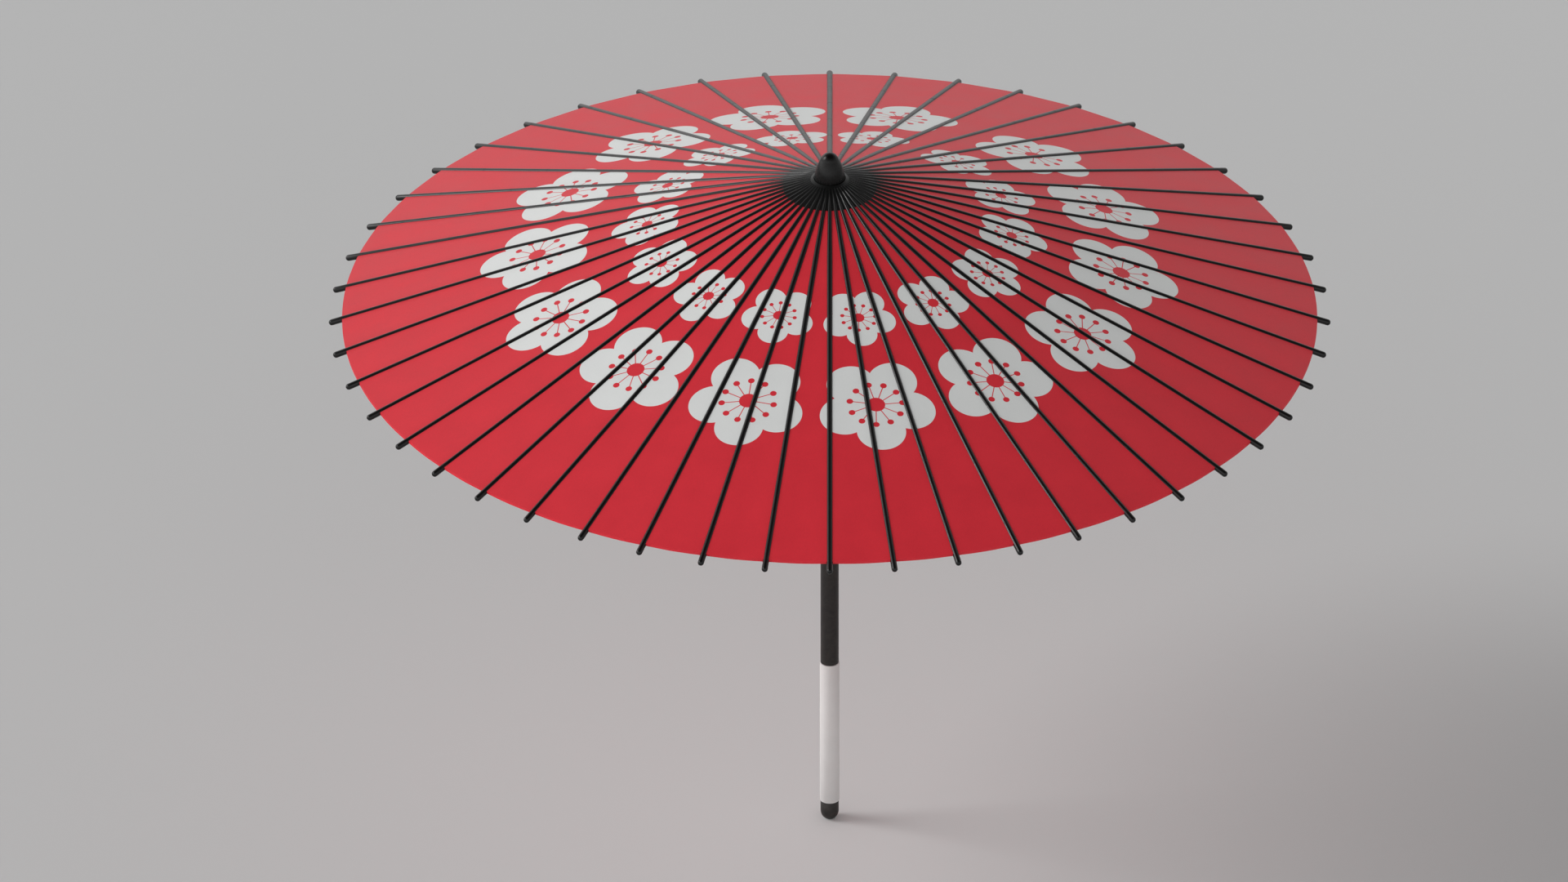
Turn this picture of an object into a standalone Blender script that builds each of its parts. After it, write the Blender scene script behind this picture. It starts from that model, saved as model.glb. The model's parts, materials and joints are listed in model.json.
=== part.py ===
"""Oil paper umbrella, open: a paper cone on folding ribs, with stretchers, a runner and a catch.

The origin is the middle of the handle's lower end, and +Z runs up the shaft.  Every second rib and stretcher
is a piece of its own; the ones between are tied into one ring by the thread that runs past them all.
"""
import math

import bmesh
import bpy
from mathutils import Matrix

# Driving dimensions, in metres and radians.
RIB_COUNT = 48
SPREAD = 0.420  # axis to the ends of the rib tips, open
SLOPE = math.radians(18.9)  # ribs below the horizontal, open
TIP_HEIGHT = 0.4784  # rib tips above the handle's end, open
RIM_RADIUS = 0.409  # edge of the paper
PIVOT_RADIUS = 0.017  # hinges in the hub and the runner, from the axis
JOINT_REACH = 0.200  # hub hinge to stretcher joint, along the rib
CLEARANCE = 0.0003  # gap between pieces that touch
CUT_SPARE = 0.002  # how far a cutter runs past what it cuts

ROD_RADIUS = 0.0025
BLADE_HALF_HEIGHT = 0.0020  # a rib where it sits in its slot
STRUT_HALF_WIDTH = 0.0016
STRUT_HALF_HEIGHT = 0.0013
RIB_HEEL = 0.0016  # a rib behind its hinge in the hub
STRUT_HEEL = 0.0010  # a stretcher beyond each of its hinges
BLADE_LENGTH = 0.006  # a rib's blade, from its hinge
ROD_START = 0.090  # where a rib has widened to a full rod
NECK_START = 0.015  # where a rib stands clear of its neighbours
NECK_WIDE = 0.58  # a rib's width and height there, as shares of the rod's
NECK_HIGH = 0.88
TIP_SHARE = 0.5  # a rib's very tip, as a share of the rod
TIP_TAPER = 0.0015
HEEL_SHARE = 0.75  # a rib's very end behind its hinge, as a share of its blade
STRUT_BLADE_LENGTH = 0.007
STRUT_TAPER = 0.013
LUG_LENGTH = 0.005  # tab below a rib that its stretcher's fork straddles
JOINT_GAP = 0.0004  # between a rib and its stretcher when they lie together
PAPER = 0.0006  # canopy and crown patch thickness
CROWN_RADIUS = 0.0456
THREAD_RADIUS = 0.0005
THREAD_SPARE = 0.0003  # extra dip of a thread under the rods that it isn't tied to
RIM_THREAD_INSET = 0.005

SHAFT_RADIUS = 0.00765
SPIGOT_RADIUS = 0.0040  # top of the shaft, inside the finial
SPIGOT_LENGTH = 0.012
GRIP_PROUD = 0.0006  # grip's surface outside the shaft's
GRIP_WALL = 0.0016
GRIP_BOTTOM = 0.0172
GRIP_TOP = 0.1506
CAP_SOCKET_FLOOR = 0.0060
CAP_FOOT_RADIUS = 0.0020  # flat at the handle's very end

HUB_RIM = 0.0030  # hub and runner flanges outside their hinges
SLOT_BEHIND = 0.0033  # slots inside the hinges
SLOT_WALL = 0.000293  # hub and runner between two slots, at the slots' floor
FLANGE_BELOW = 0.009
NECK_WALL = 0.00435
NECK_LENGTH = 0.013
HUB_TOP = 0.0012  # hub's flat top above its hinges
HUB_SLOPE_LIFT = 0.0011  # hub's sloping edge above the ribs' middle lines
RUNNER_RISE = 0.006  # runner's flange above and below its hinges
RUNNER_SKIRT = 0.034
SKIRT_WALL = 0.00385
SLIDE_GAP = 0.0004

FINIAL_RADIUS = 0.0129
FINIAL_TOP_RADIUS = 0.0078
FINIAL_HEIGHT = 0.0251

CATCH_LENGTH = 0.034
CATCH_HALF_THICKNESS = 0.0008
CATCH_PROUD = 0.0028  # catch's step beyond the shaft
CATCH_STEP = 0.002  # height of that step
CATCH_DEPTH = 0.00275  # catch's body, behind its outer face
CATCH_SLOT_FLOOR = 0.0008
CATCH_HINGE_UP = 0.0015  # catch's hinge above its foot
CATCH_HINGE_IN = 0.0013  # catch's hinge from its back face
PIN_RADIUS = 0.0012
PIN_BELOW_HUB = 0.0155

TURN_STEPS = 24  # facets round the turned pieces

# Places that follow from the driving dimensions.
PITCH = 2.0 * math.pi / RIB_COUNT
FIRST_BEARING = -math.pi / 2.0
RIB_LENGTH = (SPREAD - PIVOT_RADIUS) / math.cos(SLOPE)
HUB_Z = TIP_HEIGHT + (SPREAD - PIVOT_RADIUS) * math.tan(SLOPE)
JOINT_DROP = ROD_RADIUS + STRUT_HALF_HEIGHT + JOINT_GAP
LINK = math.hypot(JOINT_REACH, JOINT_DROP)
LINK_ANGLE = math.pi / 2.0 - SLOPE - math.atan2(JOINT_DROP, JOINT_REACH)
RUNNER_Z = HUB_Z - 2.0 * LINK * math.cos(LINK_ANGLE)
RUNNER_BOTTOM = RUNNER_Z - RUNNER_RISE - RUNNER_SKIRT
GRIP_RADIUS = SHAFT_RADIUS + GRIP_PROUD
HUB_RADIUS = PIVOT_RADIUS + HUB_RIM
SLOT_FLOOR_RADIUS = PIVOT_RADIUS - SLOT_BEHIND
SLOT_WIDTH = PITCH * SLOT_FLOOR_RADIUS - SLOT_WALL
BLADE_HALF_WIDTH = SLOT_WIDTH / 2.0 - CLEARANCE  # a rib or stretcher where it sits in its slot
NECK_RADIUS = SHAFT_RADIUS + NECK_WALL
SKIRT_RADIUS = SHAFT_RADIUS + SKIRT_WALL
CATCH_FACE = SHAFT_RADIUS - CLEARANCE
CATCH_INNER = CATCH_FACE - CATCH_DEPTH  # catch's back face, from the axis


def collection(name):
    """A new collection in the scene."""
    made = bpy.data.collections.new(name)
    bpy.context.scene.collection.children.link(made)
    return made


def material(name, color, roughness, metallic=0.0):
    """A Principled material."""
    made = bpy.data.materials.new(name)
    made.use_nodes = True
    shader = made.node_tree.nodes["Principled BSDF"]
    shader.inputs["Base Color"].default_value = (*color, 1.0)
    shader.inputs["Roughness"].default_value = roughness
    shader.inputs["Metallic"].default_value = metallic
    return made


def place(name, mesh, home, finish=None):
    """An object of this mesh in a collection; its faces are shaded smooth except at sharp edges."""
    made = bpy.data.objects.new(name, mesh)
    home.objects.link(made)
    mesh.shade_smooth()
    mesh.set_sharp_from_angle(angle=math.radians(35.0))
    if finish is not None and not mesh.materials:
        mesh.materials.append(finish)
    return made


def hide(tool):
    """Marks an object as a cutter or a blank, which is no part of the umbrella."""
    tool.hide_render = True
    tool.display_type = "WIRE"
    return tool


def boolean(body, tool, operation):
    """Adds a Boolean modifier that cuts or joins one object, or joins all of a collection."""
    modifier = body.modifiers.new(operation.lower(), "BOOLEAN")
    modifier.operation = operation
    if isinstance(tool, bpy.types.Collection):
        modifier.operand_type = "COLLECTION"
        modifier.collection = tool
    else:
        modifier.object = tool


def baked(source):
    """The mesh of an object with its modifiers applied."""
    depsgraph = bpy.context.evaluated_depsgraph_get()
    return bpy.data.meshes.new_from_object(source.evaluated_get(depsgraph))


def turned(name, profile, home, finish, steps=TURN_STEPS, ring=False):
    """A profile of (radius, height) points, top to bottom down its outer side, turned about Z."""
    count = len(profile)
    edges = [(i, i + 1) for i in range(count - 1)]
    if ring:
        edges.append((count - 1, 0))
    mesh = bpy.data.meshes.new(name)
    mesh.from_pydata([(radius, 0.0, z) for radius, z in profile], edges, [])
    made = place(name, mesh, home, finish)
    screw = made.modifiers.new("turn", "SCREW")
    screw.steps = steps
    screw.render_steps = steps
    screw.use_merge_vertices = True
    screw.merge_threshold = 0.00001
    screw.use_smooth_shade = True
    return made


def lofted(name, sections, home):
    """A six-sided rod along X through rings of (x, half width, half height), flat above and below."""
    corner = math.pi / 3.0
    shape = bmesh.new()
    rings = []
    for x, half_width, half_height in sections:
        ring = []
        for i in range(6):
            y = half_width * math.cos(i * corner)
            z = half_height * math.sin(i * corner) / math.sin(corner)
            ring.append(shape.verts.new((x, y, z)))
        rings.append(ring)
    for ring, following in zip(rings, rings[1:]):
        for i in range(6):
            j = (i + 1) % 6
            shape.faces.new((ring[i], ring[j], following[j], following[i]))
    shape.faces.new(rings[0])
    shape.faces.new(rings[-1])
    bmesh.ops.recalc_face_normals(shape, faces=shape.faces)
    mesh = bpy.data.meshes.new(name)
    shape.to_mesh(mesh)
    shape.free()
    return place(name, mesh, home)


def block(name, size, centre, home):
    """A hidden box of this size, used as a cutter or as a blank."""
    shape = bmesh.new()
    bmesh.ops.create_cube(shape, size=1.0, matrix=Matrix.Translation(centre) @ Matrix.Diagonal((*size, 1.0)))
    mesh = bpy.data.meshes.new(name)
    shape.to_mesh(mesh)
    shape.free()
    return hide(place(name, mesh, home))


def rod(name, radius, half_length, home, finish=None):
    """A round bar lying along Y."""
    shape = bmesh.new()
    bmesh.ops.create_cone(
        shape, cap_ends=True, segments=16, radius1=radius, radius2=radius, depth=2.0 * half_length,
        matrix=Matrix.Rotation(math.pi / 2.0, 4, "X"),
    )
    mesh = bpy.data.meshes.new(name)
    shape.to_mesh(mesh)
    shape.free()
    return place(name, mesh, home, finish)


def slot_cutter(name, low, high, home):
    """One mesh of radial blades, a blade for each rib, from the slots' floor outwards."""
    shape = bmesh.new()
    length = HUB_RADIUS + CUT_SPARE - SLOT_FLOOR_RADIUS
    for k in range(RIB_COUNT):
        turn = Matrix.Rotation(bearing(k), 4, "Z")
        shift = Matrix.Translation((SLOT_FLOOR_RADIUS + length / 2.0, 0.0, (low + high) / 2.0))
        size = Matrix.Diagonal((length, SLOT_WIDTH, high - low, 1.0))
        bmesh.ops.create_cube(shape, size=1.0, matrix=turn @ shift @ size)
    mesh = bpy.data.meshes.new(name)
    shape.to_mesh(mesh)
    shape.free()
    return hide(place(name, mesh, home))


def bearing(k):
    """Angle round the axis of rib number k."""
    return FIRST_BEARING + k * PITCH


def above_ribs(radius, lift):
    """Height of a point at this radius, lifted square off the ribs' middle lines."""
    return HUB_Z + (PIVOT_RADIUS - radius) * math.tan(SLOPE) + lift / math.cos(SLOPE)


def make_shaft(parts, tools, finish):
    """The pole: a spigot at the top, rebated under the grip, with the catch's slot and the pin's hole."""
    core = GRIP_RADIUS - GRIP_WALL - CLEARANCE
    foot = CAP_SOCKET_FLOOR + CLEARANCE
    shoulder = HUB_Z + HUB_TOP
    profile = [
        (0.0, shoulder + SPIGOT_LENGTH),
        (SPIGOT_RADIUS, shoulder + SPIGOT_LENGTH),
        (SPIGOT_RADIUS, shoulder),
        (SHAFT_RADIUS, shoulder),
        (SHAFT_RADIUS, GRIP_TOP + CLEARANCE),
        (core, GRIP_TOP + CLEARANCE),
        (core, foot),
        (0.0, foot),
    ]
    shaft = turned("shaft", profile, parts, finish)
    top = RUNNER_BOTTOM
    slot_height = CATCH_LENGTH + 2.0 * CLEARANCE
    depth = SHAFT_RADIUS + CUT_SPARE - CATCH_SLOT_FLOOR
    centre = (CATCH_SLOT_FLOOR + depth / 2.0, 0.0, top - slot_height / 2.0)
    width = 2.0 * (CATCH_HALF_THICKNESS + CLEARANCE)
    boolean(shaft, block("catch_slot_cutter", (depth, width, slot_height), centre, tools), "DIFFERENCE")
    drill = hide(rod("pin_hole_cutter", PIN_RADIUS + CLEARANCE, NECK_RADIUS + CUT_SPARE, tools))
    drill.location.z = HUB_Z - PIN_BELOW_HUB
    boolean(shaft, drill, "DIFFERENCE")
    return drill


def make_grip(parts, finish):
    """The white sleeve on the lower end of the shaft."""
    inner = GRIP_RADIUS - GRIP_WALL
    edge = 0.0005
    profile = [
        (inner, GRIP_TOP),
        (GRIP_RADIUS - edge, GRIP_TOP),
        (GRIP_RADIUS, GRIP_TOP - edge),
        (GRIP_RADIUS, GRIP_BOTTOM + edge),
        (GRIP_RADIUS - edge, GRIP_BOTTOM),
        (inner, GRIP_BOTTOM),
    ]
    turned("grip_sleeve", profile, parts, finish, ring=True)


def make_end_cap(parts, finish):
    """The round end of the pole, with a socket for the shaft and a small flat below."""
    top = GRIP_BOTTOM - CLEARANCE
    socket = GRIP_RADIUS - GRIP_WALL
    arc_steps = 5
    profile = [(0.0, CAP_SOCKET_FLOOR), (socket, CAP_SOCKET_FLOOR), (socket, top), (SHAFT_RADIUS, top)]
    for i in range(arc_steps + 1):
        angle = i / arc_steps * math.pi / 2.0
        radius = CAP_FOOT_RADIUS + (SHAFT_RADIUS - CAP_FOOT_RADIUS) * math.cos(angle)
        profile.append((radius, SHAFT_RADIUS * (1.0 - math.sin(angle))))
    profile.append((0.0, 0.0))
    turned("end_cap", profile, parts, finish)


def make_hub(parts, tools, drill, finish):
    """The head hub, with a slot for every rib and a neck that the cross pin goes through."""
    bore = SHAFT_RADIUS + CLEARANCE
    flat_end = PIVOT_RADIUS + (HUB_SLOPE_LIFT / math.cos(SLOPE) - HUB_TOP) / math.tan(SLOPE)
    top = HUB_Z + HUB_TOP
    profile = [
        (bore, top),
        (flat_end, top),
        (HUB_RADIUS, above_ribs(HUB_RADIUS, HUB_SLOPE_LIFT)),
        (HUB_RADIUS, HUB_Z - FLANGE_BELOW),
        (NECK_RADIUS, HUB_Z - FLANGE_BELOW),
        (NECK_RADIUS, HUB_Z - FLANGE_BELOW - NECK_LENGTH),
        (bore, HUB_Z - FLANGE_BELOW - NECK_LENGTH),
    ]
    hub = turned("head_hub", profile, parts, finish, ring=True)
    low = HUB_Z - FLANGE_BELOW - CUT_SPARE
    high = HUB_Z + HUB_TOP + CUT_SPARE
    boolean(hub, slot_cutter("hub_slot_cutter", low, high, tools), "DIFFERENCE")
    boolean(hub, drill, "DIFFERENCE")


def make_hub_pin(parts, finish):
    """The pin through the hub's neck and the shaft."""
    pin = rod("hub_pin", PIN_RADIUS, NECK_RADIUS - CLEARANCE, parts, finish)
    pin.location.z = HUB_Z - PIN_BELOW_HUB


def make_runner(parts, tools, finish):
    """The sliding runner, with a slot for every stretcher and a skirt below to push it by."""
    bore = SHAFT_RADIUS + SLIDE_GAP
    edge = 0.0006
    profile = [
        (bore, RUNNER_RISE),
        (HUB_RADIUS - edge, RUNNER_RISE),
        (HUB_RADIUS, RUNNER_RISE - edge),
        (HUB_RADIUS, edge - RUNNER_RISE),
        (HUB_RADIUS - edge, -RUNNER_RISE),
        (SKIRT_RADIUS, -RUNNER_RISE),
        (SKIRT_RADIUS, edge - RUNNER_RISE - RUNNER_SKIRT),
        (SKIRT_RADIUS - edge, -RUNNER_RISE - RUNNER_SKIRT),
        (bore, -RUNNER_RISE - RUNNER_SKIRT),
    ]
    runner = turned("runner", profile, parts, finish, ring=True)
    runner.location.z = RUNNER_Z
    reach = RUNNER_RISE + CUT_SPARE
    cutter = slot_cutter("runner_slot_cutter", -reach, reach, tools)
    cutter.location.z = RUNNER_Z
    boolean(runner, cutter, "DIFFERENCE")


def make_finial(parts, finish):
    """The bullet-shaped finial: a round top, sides that swell to the base, and a socket below."""
    base = HUB_Z + HUB_TOP + CLEARANCE
    centre = base + FINIAL_HEIGHT - FINIAL_TOP_RADIUS
    arc_end = math.radians(72.0)
    arc_steps = 4
    side_steps = 4
    profile = []
    for i in range(arc_steps + 1):
        angle = i / arc_steps * arc_end
        profile.append((FINIAL_TOP_RADIUS * math.sin(angle), centre + FINIAL_TOP_RADIUS * math.cos(angle)))
    shoulder, shoulder_z = profile[-1]
    for i in range(1, side_steps + 1):
        share = i / side_steps
        swell = 1.0 - (1.0 - share) ** 2
        radius = shoulder + (FINIAL_RADIUS - shoulder) * swell
        profile.append((radius, shoulder_z + (base - shoulder_z) * share))
    socket = SPIGOT_RADIUS + CLEARANCE
    roof = HUB_Z + HUB_TOP + SPIGOT_LENGTH + CLEARANCE
    profile += [(socket, base), (socket, roof), (0.0, roof)]
    turned("finial", profile, parts, finish)


def cone_sheet(name, inner, outer, lift, parts, finish):
    """A sheet of paper turned to the ribs' slope; its lower face is lifted off the ribs' middle lines."""
    profile = [
        (inner, above_ribs(inner, lift + PAPER)),
        (outer, above_ribs(outer, lift + PAPER)),
        (outer, above_ribs(outer, lift)),
        (inner, above_ribs(inner, lift)),
    ]
    turned(name, profile, parts, finish, steps=RIB_COUNT, ring=True)


def rib_blank(tools):
    """One rib along X from its hub hinge: a blade in the hub, widening to a rod beyond it."""
    sections = [
        (-RIB_HEEL, BLADE_HALF_WIDTH, HEEL_SHARE * BLADE_HALF_HEIGHT),
        (BLADE_LENGTH, BLADE_HALF_WIDTH, BLADE_HALF_HEIGHT),
        (NECK_START, NECK_WIDE * ROD_RADIUS, NECK_HIGH * ROD_RADIUS),
        (ROD_START, ROD_RADIUS, ROD_RADIUS),
        (RIB_LENGTH - TIP_TAPER, ROD_RADIUS, ROD_RADIUS),
        (RIB_LENGTH, TIP_SHARE * ROD_RADIUS, TIP_SHARE * ROD_RADIUS),
    ]
    return hide(lofted("rib_blank", sections, tools))


def add_lug(blank, tools):
    """Joins the lug that the stretcher's fork straddles to a rib."""
    lug_top = ROD_RADIUS / 2.0
    lug_bottom = JOINT_DROP + STRUT_HALF_HEIGHT
    size = (LUG_LENGTH, 2.0 * BLADE_HALF_WIDTH, lug_bottom - lug_top)
    centre = (JOINT_REACH, 0.0, -(lug_bottom + lug_top) / 2.0)
    boolean(blank, block("lug_blank", size, centre, tools), "UNION")


def strut_blank(tools):
    """One stretcher along X from its joint: a flat rod that thins to a blade in the runner."""
    sections = [
        (-STRUT_HEEL, STRUT_HALF_WIDTH, STRUT_HALF_HEIGHT),
        (LINK - STRUT_BLADE_LENGTH - STRUT_TAPER, STRUT_HALF_WIDTH, STRUT_HALF_HEIGHT),
        (LINK - STRUT_BLADE_LENGTH, BLADE_HALF_WIDTH, STRUT_HALF_HEIGHT),
        (LINK + STRUT_HEEL, BLADE_HALF_WIDTH, STRUT_HALF_HEIGHT),
    ]
    return hide(lofted("strut_blank", sections, tools))


def cut_fork(blank, tools):
    """Slots a stretcher's outer end to straddle the rib's lug."""
    size = (2.0 * (LUG_LENGTH - STRUT_HEEL), SLOT_WIDTH, 4.0 * STRUT_HALF_HEIGHT)
    fork = block("fork_cutter", size, (0.0, 0.0, 0.0), tools)
    boolean(blank, fork, "DIFFERENCE")


def rib_matrix(k):
    """Rib k's place: its X runs down the slope from the hub hinge, and its Y is the hinge's axis."""
    turn = Matrix.Rotation(bearing(k), 4, "Z")
    return turn @ Matrix.Translation((PIVOT_RADIUS, 0.0, HUB_Z)) @ Matrix.Rotation(SLOPE, 4, "Y")


def strut_matrix():
    """A stretcher's place on its rib: its X runs from the joint down to the runner's hinge."""
    tilt = math.pi / 2.0 + LINK_ANGLE - SLOPE
    return Matrix.Translation((JOINT_REACH, 0.0, -JOINT_DROP)) @ Matrix.Rotation(tilt, 4, "Y")


def make_moving_ribs(parts, rib_mesh, strut_mesh):
    """Every second rib and its stretcher, each an object on its own hinge."""
    for number, k in enumerate(range(0, RIB_COUNT, 2), start=1):
        rib = place(f"rib_{number:02d}", rib_mesh, parts)
        rib.matrix_world = rib_matrix(k)
        strut = place(f"stretcher_{number:02d}", strut_mesh, parts)
        strut.parent = rib
        strut.matrix_local = strut_matrix()


def thread_ring(name, radius, height, rise, parts, finish):
    """A thread that dips under every second rib or stretcher and rises by this much into those between."""
    bpy.ops.mesh.primitive_torus_add(
        major_segments=RIB_COUNT, minor_segments=4, major_radius=radius, minor_radius=THREAD_RADIUS,
        location=(0.0, 0.0, height),
    )
    ring = bpy.context.object
    ring.name = name
    for other in ring.users_collection:
        other.objects.unlink(ring)
    parts.objects.link(ring)
    for vertex in ring.data.vertices:
        number = round((math.atan2(vertex.co.y, vertex.co.x) - FIRST_BEARING) / PITCH)
        if number % 2 == 1:
            vertex.co.z += rise
    ring.data.materials.append(finish)
    return ring


def tie(ring, mesh, rod_matrix):
    """Joins the rods between to their thread."""
    blanks = collection(ring.name + "_blanks")
    for k in range(1, RIB_COUNT, 2):
        hide(place(f"{ring.name}_blank_{k:02d}", mesh, blanks)).matrix_world = rod_matrix(k)
    boolean(ring, blanks, "UNION")


def make_between_sets(parts, rib_mesh, strut_mesh, rib_finish, strut_finish):
    """The ribs and the stretchers between, tied by the rim thread and by the stretchers' thread."""
    dip = CLEARANCE + THREAD_RADIUS + THREAD_SPARE
    radius = RIM_RADIUS - RIM_THREAD_INSET
    height = above_ribs(radius, -(ROD_RADIUS + dip))
    ring = thread_ring("between_ribs", radius, height, dip + 0.5 * ROD_RADIUS, parts, rib_finish)
    tie(ring, rib_mesh, rib_matrix)
    half = LINK / 2.0
    radius = PIVOT_RADIUS + half * math.sin(LINK_ANGLE)
    middle = RUNNER_Z + half * math.cos(LINK_ANGLE)
    height = middle - (STRUT_HALF_HEIGHT + dip) / math.sin(LINK_ANGLE)
    rise = dip + 0.5 * STRUT_HALF_HEIGHT
    ring = thread_ring("between_stretchers", radius, height, rise, parts, strut_finish)
    tie(ring, strut_mesh, lambda k: rib_matrix(k) @ strut_matrix())


def make_catch(parts, finish):
    """The sprung catch: a flat lever in the shaft's slot, hinged low, whose step carries the runner."""
    top = RUNNER_BOTTOM - CLEARANCE
    step = SHAFT_RADIUS + CATCH_PROUD
    hinge = (CATCH_INNER + CATCH_HINGE_IN, top - CATCH_LENGTH + CATCH_HINGE_UP)
    outline = [
        (CATCH_INNER, top),
        (step, top),
        (step, top - CATCH_STEP),
        (CATCH_FACE, top - CATCH_LENGTH / 2.0),
        (CATCH_FACE, top - CATCH_LENGTH),
        (CATCH_INNER, top - CATCH_LENGTH),
    ]
    curve = bpy.data.curves.new("catch", "CURVE")
    curve.dimensions = "2D"
    curve.fill_mode = "BOTH"
    curve.extrude = CATCH_HALF_THICKNESS
    line = curve.splines.new("POLY")
    line.points.add(len(outline) - 1)
    line.use_cyclic_u = True
    for point, (x, z) in zip(line.points, outline):
        point.co = (x - hinge[0], z - hinge[1], 0.0, 1.0)
    curve.materials.append(finish)
    catch = bpy.data.objects.new("catch", curve)
    parts.objects.link(catch)
    catch.location = (hinge[0], 0.0, hinge[1])
    catch.rotation_euler = (math.pi / 2.0, 0.0, 0.0)


def main():
    """Clears the scene and builds the umbrella."""
    for old in list(bpy.data.objects):
        bpy.data.objects.remove(old, do_unlink=True)
    parts = collection("oil_paper_umbrella")
    tools = collection("cutters")
    lacquer = material("black_lacquered_bamboo", (0.012, 0.012, 0.013), 0.45)
    strut_lacquer = material("stretcher_bamboo", (0.020, 0.018, 0.016), 0.50)
    pole = material("black_pole", (0.022, 0.020, 0.018), 0.50)
    hub_wood = material("turned_wood", (0.020, 0.016, 0.013), 0.55)
    runner_wood = material("runner_wood", (0.024, 0.018, 0.014), 0.55)
    finial_black = material("finial_black", (0.010, 0.010, 0.010), 0.40)
    cap_black = material("end_cap_black", (0.012, 0.011, 0.011), 0.55)
    white_wrap = material("white_grip", (0.72, 0.71, 0.68), 0.65)
    red_paper = material("red_oiled_paper", (0.52, 0.035, 0.05), 0.45)
    crown_paper = material("black_crown_paper", (0.015, 0.016, 0.015), 0.55)
    brass = material("brass", (0.55, 0.40, 0.16), 0.35, 1.0)
    steel = material("spring_steel", (0.42, 0.41, 0.40), 0.40, 1.0)

    drill = make_shaft(parts, tools, pole)
    make_grip(parts, white_wrap)
    make_end_cap(parts, cap_black)
    make_hub(parts, tools, drill, hub_wood)
    make_hub_pin(parts, steel)
    make_runner(parts, tools, runner_wood)
    make_finial(parts, finial_black)
    make_catch(parts, brass)

    eye = FINIAL_RADIUS + 2.0 * CLEARANCE
    canopy_lift = ROD_RADIUS + CLEARANCE
    cone_sheet("canopy_paper", eye, RIM_RADIUS, canopy_lift, parts, red_paper)
    crown_lift = canopy_lift + PAPER + CLEARANCE
    cone_sheet("crown_patch", eye, CROWN_RADIUS, crown_lift, parts, crown_paper)

    rib = rib_blank(tools)
    strut = strut_blank(tools)
    rib.data.materials.append(lacquer)
    strut.data.materials.append(strut_lacquer)
    make_between_sets(parts, rib.data, strut.data, lacquer, strut_lacquer)
    add_lug(rib, tools)
    cut_fork(strut, tools)
    make_moving_ribs(parts, baked(rib), baked(strut))


main()
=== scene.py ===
import json
import math
from functools import partial

import bpy
import numpy as np
from bpy.props import FloatProperty, FloatVectorProperty, IntProperty, PointerProperty
from bpy.types import Operator, Panel, PropertyGroup
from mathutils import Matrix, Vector


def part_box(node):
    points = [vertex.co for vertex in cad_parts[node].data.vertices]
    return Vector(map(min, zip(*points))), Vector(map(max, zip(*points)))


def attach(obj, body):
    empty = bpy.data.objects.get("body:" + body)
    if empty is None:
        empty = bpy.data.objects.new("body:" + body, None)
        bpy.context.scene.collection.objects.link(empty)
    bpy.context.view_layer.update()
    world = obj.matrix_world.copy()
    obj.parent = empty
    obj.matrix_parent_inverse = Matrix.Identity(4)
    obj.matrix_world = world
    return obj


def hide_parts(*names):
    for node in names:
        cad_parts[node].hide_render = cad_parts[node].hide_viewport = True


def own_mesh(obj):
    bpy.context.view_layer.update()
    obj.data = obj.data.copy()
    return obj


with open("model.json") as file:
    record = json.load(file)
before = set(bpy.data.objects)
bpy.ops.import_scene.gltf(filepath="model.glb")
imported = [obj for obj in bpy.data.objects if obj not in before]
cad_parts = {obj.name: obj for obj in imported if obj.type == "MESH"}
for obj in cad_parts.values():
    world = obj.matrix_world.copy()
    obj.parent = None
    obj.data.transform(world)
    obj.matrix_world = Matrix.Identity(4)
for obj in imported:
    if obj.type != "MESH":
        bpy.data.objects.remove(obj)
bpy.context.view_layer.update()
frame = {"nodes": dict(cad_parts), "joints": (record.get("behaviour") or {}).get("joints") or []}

bl_info = {
    "name": "Oil Paper Umbrella",
    "version": (1, 0, 0),
    "blender": (4, 5, 0),
    "location": "View3D > Sidebar > Umbrella",
    "description": "Builds an open oil paper umbrella with a printed red canopy on folding bamboo ribs",
    "category": "Object",
}

# Places read from the frame's hinges.  Distances are metres and angles radians.
RIB_HINGES = {j["child"]: j for j in frame["joints"] if j["name"].startswith("rib_hinge_")}
STRETCHER_HINGES = {j["child"]: j for j in frame["joints"] if j["name"].startswith("stretcher_hinge_")}
NUMBERS = [body.split("_")[1] for body in sorted(RIB_HINGES)]
HUB_Z = RIB_HINGES["rib_01"]["pos_m"][2]
PIVOT_RADIUS = math.hypot(*RIB_HINGES["rib_01"]["pos_m"][:2])
JOINT_RADIUS = math.hypot(*STRETCHER_HINGES["stretcher_01"]["pos_m"][:2])
JOINT_Z = STRETCHER_HINGES["stretcher_01"]["pos_m"][2]
RUNNER_Z = 2.0 * JOINT_Z - HUB_Z
RUNNER_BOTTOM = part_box("runner")[0].z

# The frame's own sizes that a new piece has to keep to.
SLOPE = math.radians(18.9)  # ribs below the horizontal
HALF_PITCH = math.radians(7.5)  # from a rib to the next one
TIP_RADIUS = 0.420
JOINT_REACH = 0.200
JOINT_DROP = 0.0042
BLADE_HALF_WIDTH = 0.00045
SLOT_HALF_WIDTH = 0.00075
SLOT_FLOOR_RADIUS = 0.0137
SHAFT_RADIUS = 0.00765
HUB_RADIUS = 0.020
NECK_RADIUS = 0.012
SKIRT_RADIUS = 0.0115

# Paper.
EYE_RADIUS = 0.0135  # crown paper's inner edge, round the finial
PAPER_START = 0.019  # red paper's inner edge, just outside the ribs' hinges
HEM_WIDTH = 0.001  # fold at the rim
CROWN_DIP = 0.0006  # extra dip in a ring round the crown
CROWN_DIP_AT = 0.035  # radius where that dip is deepest
CROWN_LIFT = 0.00035  # crown paper above the red paper
CROWN_THICKNESS = 0.0003

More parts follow.
